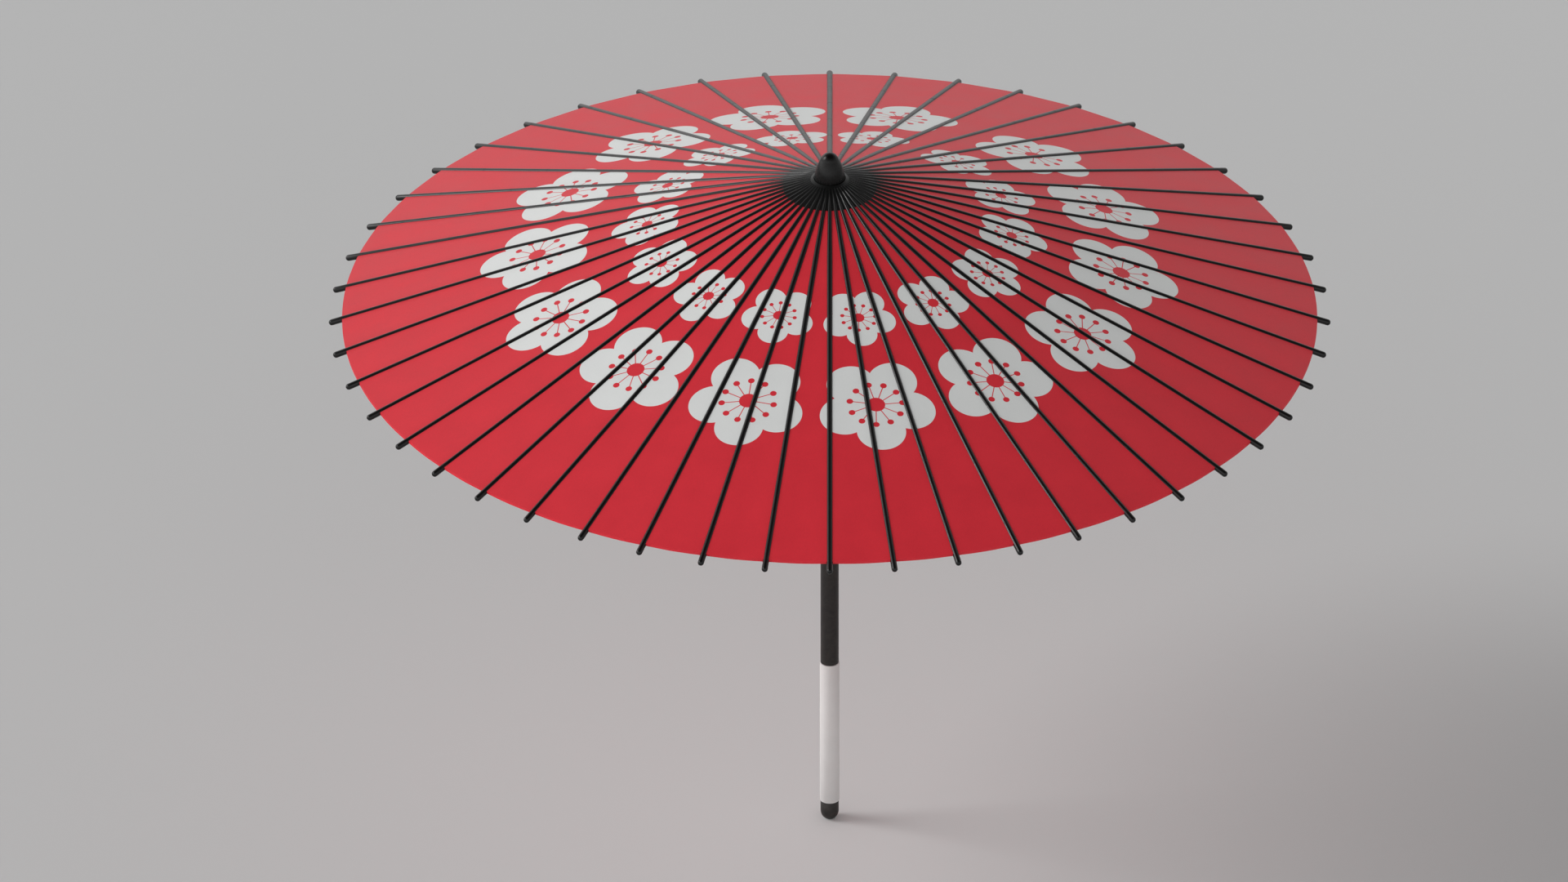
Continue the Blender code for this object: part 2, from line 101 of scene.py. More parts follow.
# Ribs: distances along one are measured from its hinge in the hub.
HEEL_STATIONS = (-0.0016, -0.0012, 0.0)
BLADE_END = 0.0035  # the thin blade in the hub ends and starts to widen
WIDENING = 0.0045
NECK_START = 0.015
ROD_START = 0.075  # the rod has its full section from here on
NECK_WIDE = 0.62  # share of the full width at the neck's start
NECK_HIGH = 0.88
SIDE_ROOM = 0.00012  # from a rib's side to the middle of the gap beside it
BLADE_HALF_HEIGHT = 0.0019
LUG_HALF_LENGTH = 0.0023
LUG_ROUND = 0.0017
LUG_TOP = -0.001
LUG_HALF_WIDTH = 0.0006

# Stretchers: the tines lie each side of a rib's lug, and the pin passes through all three.
TINE_NEAR = 0.00075
TINE_FAR = 0.0016
TINE_ROUND = 0.0012
TINE_START = -0.0004
TINE_END = 0.0060
PIN_RADIUS = 0.0006
PIN_HALF_LENGTH = 0.0019

# How far a slack piece draws in when the umbrella shuts, as a share of its open width.
RIB_KEEP = 0.094
STRETCHER_KEEP = 0.114


def size_of(name, description, default):
    """A length that the panel can change."""
    return FloatProperty(name=name, description=description, default=default, unit="LENGTH")


def colour_of(name, description, default):
    """A colour that the panel can change."""
    return FloatVectorProperty(name=name, description=description, subtype="COLOR", default=default)


class UmbrellaSizes(PropertyGroup):
    """Sizes of the pieces that can be changed without changing the frame."""

    rib_width: size_of("Rib width", "Diameter of a bamboo rib", 0.0053)
    paper_lift: size_of("Paper lift", "Height of the paper above the ribs' middle lines", 0.00135)
    paper_thickness: size_of("Paper thickness", "Thickness of the oiled paper", 0.00025)
    paper_hem: size_of("Paper hem", "Depth of the fold at the rim", 0.0021)
    paper_sag: size_of("Paper sag", "Dip of the paper between two ribs, at the rim", 0.0003)
    rim_radius: size_of("Rim radius", "Edge of the paper from the axis", 0.409)
    crown_radius: size_of("Crown radius", "Edge of the black crown paper from the axis", 0.0392)
    thread_width: size_of("Thread width", "Diameter of the tying threads", 0.0010)
    blossom_count: IntProperty(
        name="Blossoms", description="Blossoms in each printed ring", default=14, min=3, max=24
    )
    blossom_step: FloatProperty(
        name="Blossom step", description="Turn from one blossom to the next",
        default=math.radians(25.33), subtype="ANGLE", unit="ROTATION",
    )
    blossom_start: FloatProperty(
        name="First blossom", description="Bearing of the first blossom",
        default=math.radians(76.5), subtype="ANGLE", unit="ROTATION",
    )
    blossom_reach: size_of("Outer ring", "Slant distance from the apex to the outer ring's blossoms", 0.2595)
    inner_share: FloatProperty(
        name="Inner ring share", description="Size and reach of the inner ring beside the outer one",
        default=0.6244, subtype="FACTOR",
    )


class UmbrellaColours(PropertyGroup):
    """Colours of the finishes."""

    paper_red: colour_of("Paper red", "Oiled paper", (0.69, 0.0238, 0.0395))
    print_white: colour_of("Print white", "Printed blossoms", (0.74, 0.75, 0.74))
    crown_black: colour_of("Crown black", "Crown paper", (0.0035, 0.0038, 0.0037))
    lacquer_black: colour_of("Lacquer black", "Ribs, stretchers and finial", (0.0035, 0.0032, 0.0032))
    pole_brown: colour_of("Pole brown", "Pole and its end", (0.020, 0.0165, 0.015))
    grip_white: colour_of("Grip white", "Sleeve on the handle", (0.645, 0.625, 0.617))
    thread_red: colour_of("Thread red", "Tying threads", (0.28, 0.012, 0.020))
    floor_grey: colour_of("Floor grey", "Floor", (0.645, 0.645, 0.645))


def sizes():
    """The sizes set in the panel."""
    return bpy.context.scene.umbrella_sizes


def colours():
    """The colours set in the panel."""
    return bpy.context.scene.umbrella_colours


# ---- meshes ----------------------------------------------------------------------------------


def bearing_of(number):
    """Angle round the axis of a rib, from its hinge's place."""
    x, y, _ = RIB_HINGES[f"rib_{number}"]["pos_m"]
    return math.atan2(y, x)


def polar(radius, angle, height):
    """Points at these radii, bearings and heights; the three arrays are spread over each other."""
    radius, angle, height = np.broadcast_arrays(radius, angle, height)
    return np.stack((radius * np.cos(angle), radius * np.sin(angle), height), axis=-1)


def above_ribs(radius, lift):
    """Height at a radius: the ribs' middle line falls by the slope's tangent, and lift is square to it."""
    return HUB_Z + (PIVOT_RADIUS - radius) * math.tan(SLOPE) + lift / math.cos(SLOPE)


def along(start, direction, across, up, points):
    """Points given as (along, across, up) laid off from start on three unit vectors."""
    return start + points[..., :1] * direction + points[..., 1:2] * across + points[..., 2:] * up


def axes_at(angle):
    """Unit vectors at a bearing: outwards, across (the way bearings grow) and up."""
    outwards = np.array((math.cos(angle), math.sin(angle), 0.0))
    return outwards, np.array((-math.sin(angle), math.cos(angle), 0.0)), np.array((0.0, 0.0, 1.0))


def on_rib(angle):
    """Lays out points given along, across and above a rib's middle line, on the open umbrella."""
    outwards, across, up = axes_at(angle)
    direction = outwards * math.cos(SLOPE) - up * math.sin(SLOPE)
    normal = outwards * math.sin(SLOPE) + up * math.cos(SLOPE)
    return partial(along, outwards * PIVOT_RADIUS + up * HUB_Z, direction, across, normal)


def on_stretcher(angle):
    """Lays out points given along, across and above a stretcher, from its rib to the runner."""
    outwards, across, up = axes_at(angle)
    joint = outwards * JOINT_RADIUS + up * JOINT_Z
    end = outwards * PIVOT_RADIUS + up * RUNNER_Z
    direction = (end - joint) / np.linalg.norm(end - joint)
    return partial(along, joint, direction, across, np.cross(direction, across))


def skin(rings, looped=False, flat_ends=True):
    """Corners and faces of a closed skin through rings of points.

    Each ring's points are joined to the next ring's.  A looped skin's last ring is joined to its first.
    Otherwise the ends are closed, by one polygon or, for a thin ring, by a strip of quads across it.
    If the solid's signed volume comes out negative, every face is turned round, so faces point outwards.
    """
    rows, columns = rings.shape[:2]
    index = np.arange(rows * columns).reshape(rows, columns)
    first = index if looped else index[:-1]
    second = np.roll(index, -1, axis=0) if looped else index[1:]
    quads = np.stack((first, np.roll(first, -1, 1), np.roll(second, -1, 1), second), axis=-1)
    faces = quads.reshape(-1, 4).tolist()
    if not looped and flat_ends:
        faces += [index[0][::-1].tolist(), index[-1].tolist()]
    if not looped and not flat_ends:
        near = np.arange(columns // 2 - 1)
        strip = np.stack((near, columns - 1 - near, columns - 2 - near, near + 1), axis=-1)
        faces += index[0][strip].tolist() + index[-1][strip[:, ::-1]].tolist()
    corners = rings.reshape(-1, 3)
    centred = corners - corners.mean(axis=0)
    a, b, c, d = (centred[quads.reshape(-1, 4)[:, i]] for i in range(4))
    volume = (a * np.cross(b, c)).sum() + (a * np.cross(c, d)).sum()
    if not looped:
        for sign, ring in ((-1.0, centred[index[0]]), (1.0, centred[index[-1]])):
            fan = (ring.mean(axis=0) * np.cross(ring, np.roll(ring, -1, axis=0))).sum()
            volume += sign * fan
    if volume < 0.0:
        faces = [face[::-1] for face in faces]
    return corners, faces


def piece(name, skins, finishes, surface=None, sharp=40.0):
    """An object at the origin made of one skin or several, each with its own finish.

    surface is one array of (u, v) a skin, a pair for each corner, kept as the UV map "surface".
    """
    corners, faces, finish_numbers, offset = [], [], [], 0
    for number, (points, polygons) in enumerate(skins):
        corners.append(points)
        faces += [[i + offset for i in polygon] for polygon in polygons]
        finish_numbers += [min(number, len(finishes) - 1)] * len(polygons)
        offset += len(points)
    mesh = bpy.data.meshes.new(name)
    mesh.from_pydata(np.concatenate(corners).tolist(), [], faces)
    for finish in finishes:
        mesh.materials.append(finish)
    mesh.polygons.foreach_set("material_index", np.array(finish_numbers, np.int32))
    if surface is not None:
        pairs = np.concatenate([np.reshape(pair, (-1, 2)) for pair in surface])
        corner_of = np.empty(len(mesh.loops), np.int32)
        mesh.loops.foreach_get("vertex_index", corner_of)
        layer = mesh.uv_layers.new(name="surface")
        layer.data.foreach_set("uv", pairs[corner_of].astype(np.float32).ravel())
    mesh.shade_smooth()
    mesh.set_sharp_from_angle(angle=math.radians(sharp))
    mesh.validate()
    made = bpy.data.objects.new(name, mesh)
    bpy.context.scene.collection.objects.link(made)
    return made


def turned(profile, steps=72, looped=False):
    """A profile of (radius, height) pairs carried round the axis: x = r cos t, y = r sin t, z = h."""
    profile = np.asarray(profile, float)
    angle = np.linspace(0.0, 2.0 * math.pi, steps, endpoint=False)
    return skin(polar(profile[:, :1], angle[None, :], profile[:, 1:]), looped)


def rounded(profile, bevel):
    """A profile with each inner corner cut by two points, bevel away along its two sides."""
    profile = np.asarray(profile, float)
    made = [profile[0]]
    for before, corner, after in zip(profile, profile[1:], profile[2:]):
        for other in (before, after):
            side = other - corner
            length = np.linalg.norm(side)
            made.append(corner + side / length * min(bevel, 0.4 * length))
    return np.array(made + [profile[-1]])


def bar(place, x, half_width, half_height, steps=14):
    """An elliptical bar: at each x its ring is (w cos t, h sin t), and place lays it out."""
    angle = np.linspace(0.0, 2.0 * math.pi, steps, endpoint=False)
    x, half_width, half_height = (np.asarray(v, float)[:, None] for v in (x, half_width, half_height))
    points = np.broadcast_arrays(x, half_width * np.cos(angle), half_height * np.sin(angle))
    points = np.stack(points, axis=-1)
    return skin(place(points)), points[..., :2]


def slab(place, outline, low, high):
    """A flat plate: its outline of (along, up) pairs is repeated at the across distances low and high."""
    outline = np.asarray(outline, float)
    rings = np.stack([np.insert(outline, 1, side, axis=1) for side in (low, high)])
    return skin(place(rings)), rings[..., :2]


def round_tip(x, end, half):
    """Share of the full section at x: 1 along the bar, and a quarter circle down at its rounded end."""
    far = np.clip((end - x) / half, 0.0, 1.0)
    return np.sqrt(np.clip(1.0 - (1.0 - far) ** 2, 0.004, 1.0))


# ---- finishes --------------------------------------------------------------------------------


class Value:
    """A shader value. Arithmetic on it adds Math nodes to its finish."""

    def __init__(self, finish, socket):
        self.finish = finish
        self.socket = socket

    def __add__(self, other):
        return self.finish.math("ADD", self, other)

    def __radd__(self, other):
        return self.finish.math("ADD", other, self)

    def __sub__(self, other):
        return self.finish.math("SUBTRACT", self, other)

    def __rsub__(self, other):
        return self.finish.math("SUBTRACT", other, self)

    def __mul__(self, other):
        return self.finish.math("MULTIPLY", self, other)

    def __truediv__(self, other):
        return self.finish.math("DIVIDE", self, other)


class Nodes:
    """A node tree, and the ways to add to it."""

    def __init__(self, tree):
        self.tree = tree

    def put(self, socket, value):
        """Links a value to a socket, or sets the socket to a number or colour."""
        if isinstance(value, Value):
            self.tree.links.new(value.socket, socket)
        elif socket.type == "RGBA":
            socket.default_value = (*value[:3], 1.0)
        else:
            socket.default_value = value

    def node(self, kind, settings=None, inputs=None):
        """Adds a node: its settings first, then its sockets."""
        made = self.tree.nodes.new(kind)
        for name, value in (settings or {}).items():
            setattr(made, name, value)
        for name, value in (inputs or {}).items():
            self.put(made.inputs[name], value)
        return [Value(self, socket) for socket in made.outputs]

    def math(self, operation, *values, clamp=False):
        """One Math node."""
        settings = {"operation": operation, "use_clamp": clamp}
        return self.node("ShaderNodeMath", settings, dict(enumerate(values)))[0]

    def mix(self, share, low, high):
        """Colour low where share is 0 and high where it is 1."""
        return self.node("ShaderNodeMix", {"data_type": "RGBA"}, {0: share, 6: low, 7: high})[2]


class Finish(Nodes):
    """A Principled material and the nodes that feed it."""

    def __init__(self, name, colour, roughness, **uniform):
        self.material = bpy.data.materials.new(name)
        self.material.use_nodes = True
        super().__init__(self.material.node_tree)
        self.shader = self.tree.nodes["Principled BSDF"]
        self.feed(Base_Color=colour, Roughness=roughness, **uniform)

    def feed(self, **values):
        """Sets or links the Principled shader's sockets; an underscore stands for a space."""
        for name, value in values.items():
            self.put(self.shader.inputs[name.replace("_", " ")], value)

    def place(self):
        """Where a point lies on the piece, in metres."""
        return self.node("ShaderNodeTexCoord")[3]

    def surface(self):
        """Where a point lies in the piece's own UV map, in metres."""
        return self.node("ShaderNodeUVMap", {"uv_map": "surface"})[0]

    def stretched(self, vector, scale):
        """A pattern's coordinates, stretched by a factor on each axis."""
        return self.node("ShaderNodeMapping", None, {"Vector": vector, "Scale": scale})[0]

    def noise(self, vector, scale, detail=2.0, roughness=0.5, distortion=0.0):
        """Noise about 0.5, with scale patches in a metre."""
        inputs = {
            "Vector": vector, "Scale": scale, "Detail": detail,
            "Roughness": roughness, "Distortion": distortion,
        }
        return self.node("ShaderNodeTexNoise", None, inputs)[0]

    def varied(self, colour, value, amount):
        """A colour made lighter and darker by this share as a value runs from 0.3 to 0.7."""
        dark = tuple(c * (1.0 - amount) for c in colour)
        light = tuple(min(1.0, c * (1.0 + amount)) for c in colour)
        return self.mix(self.math("MULTIPLY_ADD", value, 2.5, -0.75, clamp=True), dark, light)

    def bump(self, height, distance):
        """Raises the surface by height times distance, in metres."""
        inputs = {"Height": height, "Distance": distance, "Strength": 1.0}
        self.feed(Normal=self.node("ShaderNodeBump", None, inputs)[0])


def within(finish, value, limit, soft):
    """1 where value is below limit, 0 above, with a soft edge that wide."""
    return finish.math("MULTIPLY_ADD", value, -1.0 / soft, limit / soft + 0.5, clamp=True)


def folded(finish, angle, step):
    """An angle measured from the nearest whole number of steps: a - step round(a / step)."""
    return angle - finish.math("ROUND", angle / step) * step


def length(finish, x, y):
    """Square root of x squared plus y squared."""
    return finish.math("SQRT", x * x + y * y)


def blossoms(finish, sheet):
    """1 on the printed blossoms and 0 on bare paper.

    sheet holds the slant distance from the apex turned to the bearing.  A point is first moved to its
    nearest blossom in the nearer ring.  There, five circles make the petals; a disc, filaments and a
    ring of dots are left bare.  Lengths are millimetres in the outer ring.
    """
    s = sizes()
    petal_radius, petal_reach, heart_radius = 20.7, 29.8, 7.65
    stamens, stamen_reach, stamen_phase = 11, 22.3, math.radians(-8.2)
    dot_radius, filament_half, ink = 2.8, 0.42, 0.3
    x, y, _ = finish.node("ShaderNodeSeparateXYZ", None, {0: sheet})
    slant = length(finish, x, y) * 1000.0
    bearing = finish.math("ARCTAN2", y, x)
    gap = (2.0 * math.pi - (s.blossom_count - 1) * s.blossom_step) / 2.0
    turn = finish.math("WRAP", bearing - s.blossom_start, 2.0 * math.pi - gap, -gap)
    number = finish.math("ROUND", turn / s.blossom_step)
    number = finish.math("MINIMUM", finish.math("MAXIMUM", number, 0.0), s.blossom_count - 1.0)
    away = (turn - number * s.blossom_step) * math.cos(SLOPE)
    reach = s.blossom_reach * 1000.0
    between_rings = reach * (1.0 + s.inner_share) / 2.0 - 10.0
    outer = finish.math("GREATER_THAN", slant, between_rings)
    scaled = slant / (outer * (1.0 - s.inner_share) + s.inner_share)
    out = scaled * finish.math("COSINE", away) - reach
    side = scaled * finish.math("SINE", away)
    distance = length(finish, out, side)
    angle = finish.math("ARCTAN2", side, out)
    petal = folded(finish, angle, math.radians(72.0))
    petal_x = distance * finish.math("COSINE", petal) - petal_reach
    petal_y = distance * finish.math("SINE", petal)
    petals = within(finish, length(finish, petal_x, petal_y), petal_radius, ink)
    middle = within(finish, distance, 0.5 * petal_reach, ink)
    stamen = folded(finish, angle - stamen_phase, 2.0 * math.pi / stamens)
    stamen_x = distance * finish.math("COSINE", stamen)
    stamen_y = distance * finish.math("SINE", stamen)
    dots = within(finish, length(finish, stamen_x - stamen_reach, stamen_y), dot_radius, ink)
    filament = within(finish, finish.math("ABSOLUTE", stamen_y), filament_half, ink)
    filament = filament * within(finish, distance, stamen_reach, ink)
    heart = within(finish, distance, heart_radius, ink)
    bare = finish.math("MAXIMUM", finish.math("MAXIMUM", heart, dots), filament)
    return finish.math("MAXIMUM", petals, middle) * (1.0 - bare)


def oiled_paper():
    """Red oiled paper with printed blossoms, long fibres and a slightly uneven coat of oil."""
    c = colours()
    finish = Finish("canopy_oiled_paper", c.paper_red, 0.5, IOR=1.36)
    sheet = finish.surface()
    fibres = finish.noise(finish.stretched(sheet, (1.0, 0.35, 1.0)), 1400.0, 4.0, 0.6, 1.6)
    clouds = finish.noise(sheet, 28.0, 3.0, 0.55)
    grain = fibres * 0.6 + clouds * 0.4
    red = finish.varied(c.paper_red, grain, 0.10)
    white = finish.varied(c.print_white, grain, 0.035)
    printed = blossoms(finish, sheet)
    finish.feed(Base_Color=finish.mix(printed, red, white))
    finish.feed(Roughness=0.46 + clouds * 0.12 + printed * 0.05)
    finish.bump(fibres + printed * 0.15, 0.00004)
    return finish.material


def crown_paper():
    """Black paper pasted over the crown, with a soft fibre and a dull coat of lacquer."""
    c = colours()
    finish = Finish("crown_black_paper", c.crown_black, 0.42, IOR=1.36)
    fibres = finish.noise(finish.surface(), 1100.0, 4.0, 0.6, 1.2)
    finish.feed(Base_Color=finish.varied(c.crown_black, fibres, 0.35))
    finish.feed(Roughness=0.36 + fibres * 0.14)
    finish.bump(fibres, 0.000012)
    return finish.material


def lacquered_bamboo(name, colour, roughness):
    """Lacquered split bamboo: streaks along the rod, and a faint swelling ring at each node."""
    finish = Finish(name, colour, roughness, IOR=1.4)
    rod = finish.surface()
    streaks = finish.noise(finish.stretched(rod, (0.03, 1.0, 1.0)), 2600.0, 3.0, 0.6)
    wear = finish.noise(rod, 60.0, 2.0)
    run, _, _ = finish.node("ShaderNodeSeparateXYZ", None, {0: rod})
    ring = finish.math("COSINE", run * (2.0 * math.pi / 0.071))
    node = finish.math("MULTIPLY_ADD", ring, 60.0, -59.0, clamp=True)
    finish.feed(Base_Color=finish.varied(colour, streaks, 0.45))
    finish.feed(Roughness=(roughness - 0.06) + wear * 0.12 + node * 0.1)
    finish.bump(streaks + node * 1.5, 0.000009)
    return finish.material


def pole_lacquer():
    """Brown-black lacquer over bamboo: mottled colour, fine grain along the pole, dull patches."""
    c = colours()
    finish = Finish("pole_lacquer", c.pole_brown, 0.45, IOR=1.4)
    place = finish.place()
    mottle = finish.noise(place, 150.0, 5.0, 0.65, 0.8)
    grain = finish.noise(finish.stretched(place, (1.0, 1.0, 0.06)), 1500.0, 3.0, 0.6)
    brown = finish.varied(c.pole_brown, mottle, 0.55)
    tint = tuple(0.75 * v for v in c.pole_brown)
    finish.feed(Base_Color=finish.mix(grain * 0.5, brown, tint))
    finish.feed(Roughness=0.36 + mottle * 0.2)
    finish.bump(grain + mottle * 0.5, 0.000015)
    return finish.material


def grip_wrap():
    """Matte white sleeve: a close, fine weave and faint handling marks."""
    c = colours()
    finish = Finish("grip_wrap", c.grip_white, 0.62, Sheen_Weight=0.12, Sheen_Roughness=0.5)
    place = finish.place()
    weave = finish.noise(finish.stretched(place, (1.0, 1.0, 1.6)), 1800.0, 3.0, 0.6)
    marks = finish.noise(place, 55.0, 3.0, 0.5)
    finish.feed(Base_Color=finish.varied(c.grip_white, weave * 0.5 + marks * 0.5, 0.05))
    finish.feed(Roughness=0.54 + marks * 0.16)
    finish.bump(weave, 0.00005)
    return finish.material


def turned_wood(name, colour, roughness):
    """Stained and turned wood: grain along the axis and fine rings left by the tool."""
    finish = Finish(name, colour, roughness, IOR=1.3)
    place = finish.place()
    grain = finish.noise(finish.stretched(place, (1.0, 1.0, 0.12)), 900.0, 4.0, 0.6, 0.4)
    lines = finish.noise(finish.stretched(place, (0.05, 0.05, 1.0)), 1600.0, 2.0, 0.5)
    finish.feed(Base_Color=finish.varied(colour, grain, 0.5))
    finish.feed(Roughness=(roughness - 0.08) + grain * 0.16)
    finish.bump(grain * 0.4 + lines, 0.000009)
    return finish.material


def worn_metal(name, colour, roughness):
    """Drawn metal: fine scratches along the part and duller, darker patches of tarnish."""
    finish = Finish(name, colour, roughness, Metallic=1.0)
    place = finish.place()
    scratches = finish.noise(finish.stretched(place, (1.0, 1.0, 0.04)), 6000.0, 2.0, 0.7)
    tarnish = finish.noise(place, 260.0, 4.0, 0.6)
    finish.feed(Base_Color=finish.varied(colour, tarnish, 0.3))
    finish.feed(Roughness=(roughness - 0.1) + scratches * 0.12 + tarnish * 0.14)
    finish.bump(scratches, 0.00002)
    return finish.material


def twisted_thread():
    """Dyed thread: plies that wind round it as slanting ridges."""
    c = colours()
    finish = Finish("twisted_thread", c.thread_red, 0.75, Sheen_Weight=0.3)
    run, side, _ = finish.node("ShaderNodeSeparateXYZ", None, {0: finish.surface()})
    plies = finish.math("SINE", run * 5200.0 + side * 5200.0) * 0.5 + 0.5
    finish.feed(Base_Color=finish.varied(c.thread_red, plies, 0.3))
    finish.feed(Roughness=0.68 + plies * 0.12)
    finish.bump(plies, 0.00012)
    return finish.material


def seamless_floor():
    """Pale matte floor with a very faint cloudiness."""
    c = colours()
    finish = Finish("seamless_floor", c.floor_grey, 0.9, Specular_IOR_Level=0.1)
    finish.feed(Base_Color=finish.varied(c.floor_grey, finish.noise(finish.place(), 0.7, 2.0), 0.012))
    return finish.material


def finish_of(name, make, *values):
    """The finish of this name, made the first time that it is asked for."""
    return bpy.data.materials.get(name) or make(*values)


def rib_finish():
    """Lacquered bamboo of the ribs."""
    return finish_of("rib_lacquer", lacquered_bamboo, "rib_lacquer", colours().lacquer_black, 0.30)


def stretcher_finish():
    """Lacquered bamboo of the stretchers, a little lighter and duller than the ribs'."""
    colour = tuple(1.7 * v for v in colours().lacquer_black)
    return finish_of("stretcher_lacquer", lacquered_bamboo, "stretcher_lacquer", colour, 0.45)


def wood_finish():
    """Dark stained wood of the hub and the runner."""
    return finish_of("hub_wood", turned_wood, "hub_wood", (0.021, 0.017, 0.014), 0.5)


def thread_finish():
    """Dyed thread of both tying threads."""
    return finish_of("twisted_thread", twisted_thread)


def steel_finish():
    """Worn steel of the hub's and the stretchers' pins."""
    return finish_of("pin_steel", worn_metal, "pin_steel", (0.42, 0.41, 0.40), 0.38)


# ---- pieces ----------------------------------------------------------------------------------


def gore_rings(angle, inner, outer, top_lift, thickness, hem, sag, rows):
    """A thin strip of the cone between two bearings, as rings round its section.

    At radius r and bearing b the height is above_ribs(r, lift) less a dip between ribs of
    sag (r / rim) sin^2(pi (b - rib) / HALF_PITCH), and less CROWN_DIP q exp(1 - q) round the crown,
    with q = (r / CROWN_DIP_AT)^2.  Each ring runs along the top and back underneath.
    The strip is as deep as its thickness, and as its hem over the last HEM_WIDTH.
    """
    steps = 16
    hem_rows = (outer - 0.9 * HEM_WIDTH, outer)
    radius = np.concatenate((np.linspace(inner, outer - HEM_WIDTH, rows), hem_rows))[:, None]
    depth = np.where(radius > outer - 0.95 * HEM_WIDTH, hem, thickness)
    turn = np.linspace(-HALF_PITCH, HALF_PITCH, steps + 1)
    hollow = (radius / CROWN_DIP_AT) ** 2
    dip = sag * radius / sizes().rim_radius * np.sin(math.pi * turn / HALF_PITCH) ** 2
    dip = dip + CROWN_DIP * hollow * np.exp(1.0 - hollow)
    top = polar(radius, angle + turn, above_ribs(radius, top_lift) - dip)
    bottom = polar(radius, angle + turn, above_ribs(radius, top_lift - depth) - dip)
    rings = np.concatenate((top, bottom[:, ::-1]), axis=1)
    slant = radius / math.cos(SLOPE)
    around = np.concatenate((turn, turn[::-1])) + angle
    sheet = np.stack((slant * np.cos(around), slant * np.sin(around)), axis=-1)
    return rings, sheet


def make_gore(name, number, inner, outer, top_lift, thickness, hem, sag, finish, rows):
    """One gore of paper on a rib, carried by the rib's body."""
    angle = bearing_of(number)
    rings, sheet = gore_rings(angle, inner, outer, top_lift, thickness, hem, sag, rows)
    made = piece(name, [skin(rings, flat_ends=False)], [finish], [sheet], sharp=50.0)
    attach(made, f"rib_{number}")
    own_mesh(made)
    return made


class UMBRELLA_OT_canopy_paper(Operator):
    """Make the printed canopy, one gore of paper to each hinged rib"""

    bl_idname = "umbrella.canopy_paper"
    bl_label = "Canopy Paper"

    def execute(self, context):
        s = sizes()
        finish = oiled_paper()
        for number in NUMBERS:
            made = make_gore(
                f"canopy_gore_{number}", number, PAPER_START, s.rim_radius, s.paper_lift,
                s.paper_thickness, s.paper_hem, s.paper_sag, finish, rows=40,
            )
            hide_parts("canopy_paper")
        return {"FINISHED"}


class UMBRELLA_OT_crown_paper(Operator):
    """Make the black crown paper over the middle of the canopy"""

    bl_idname = "umbrella.crown_paper"
    bl_label = "Crown Paper"

    def execute(self, context):
        s = sizes()
        finish = crown_paper()
        for number in NUMBERS:
            made = make_gore(
                f"crown_gore_{number}", number, EYE_RADIUS, s.crown_radius, s.paper_lift + CROWN_LIFT,
                CROWN_THICKNESS, CROWN_THICKNESS, 0.0, finish, rows=10,
            )
            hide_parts("crown_patch")
        return {"FINISHED"}


def rib_skins(angle):
    """A rib's rod and its lug: a blade in the hub that widens to the rod as the ribs part."""
    place = on_rib(angle)
    half = sizes().rib_width / 2.0
    end = (TIP_RADIUS - PIVOT_RADIUS) / math.cos(SLOPE)
    tip = end - half + half * np.sin(np.linspace(0.0, math.pi / 2.0, 7))
    x = np.concatenate(((*HEEL_STATIONS, BLADE_END), np.linspace(0.0055, end - half, 36)[:-1], tip))
    radius = PIVOT_RADIUS + x * math.cos(SLOPE)
    apart = np.clip((x - BLADE_END) / WIDENING, 0.0, 1.0)
    room = np.interp(x, (NECK_START, ROD_START), (NECK_WIDE * half, half))
    room = np.minimum(room, radius * math.tan(HALF_PITCH / 2.0) - SIDE_ROOM)
    tall = np.interp(x, (NECK_START, ROD_START), (NECK_HIGH * half, half))
    width = BLADE_HALF_WIDTH + (room - BLADE_HALF_WIDTH) * apart
    height = BLADE_HALF_HEIGHT + (tall - BLADE_HALF_HEIGHT) * apart
    share = round_tip(x, end, half)
    heel = np.clip((x + 0.0019) / 0.0007, 0.4, 1.0)
    rod, rod_sheet = bar(place, x, width * share, height * share * heel)
    grain = (11.3 * angle, 0.0)
    turn = np.linspace(math.pi, 2.0 * math.pi, 13)
    run = JOINT_REACH + LUG_HALF_LENGTH * np.cos(turn)
    arc = np.stack((run, LUG_ROUND * np.sin(turn) - JOINT_DROP + 0.0002), axis=-1)
    ends = ((JOINT_REACH + LUG_HALF_LENGTH, LUG_TOP), (JOINT_REACH - LUG_HALF_LENGTH, LUG_TOP))
    lug, lug_sheet = slab(place, np.concatenate((arc, ends)), -LUG_HALF_WIDTH, LUG_HALF_WIDTH)
    return [rod, lug], [rod_sheet + grain, lug_sheet + grain]


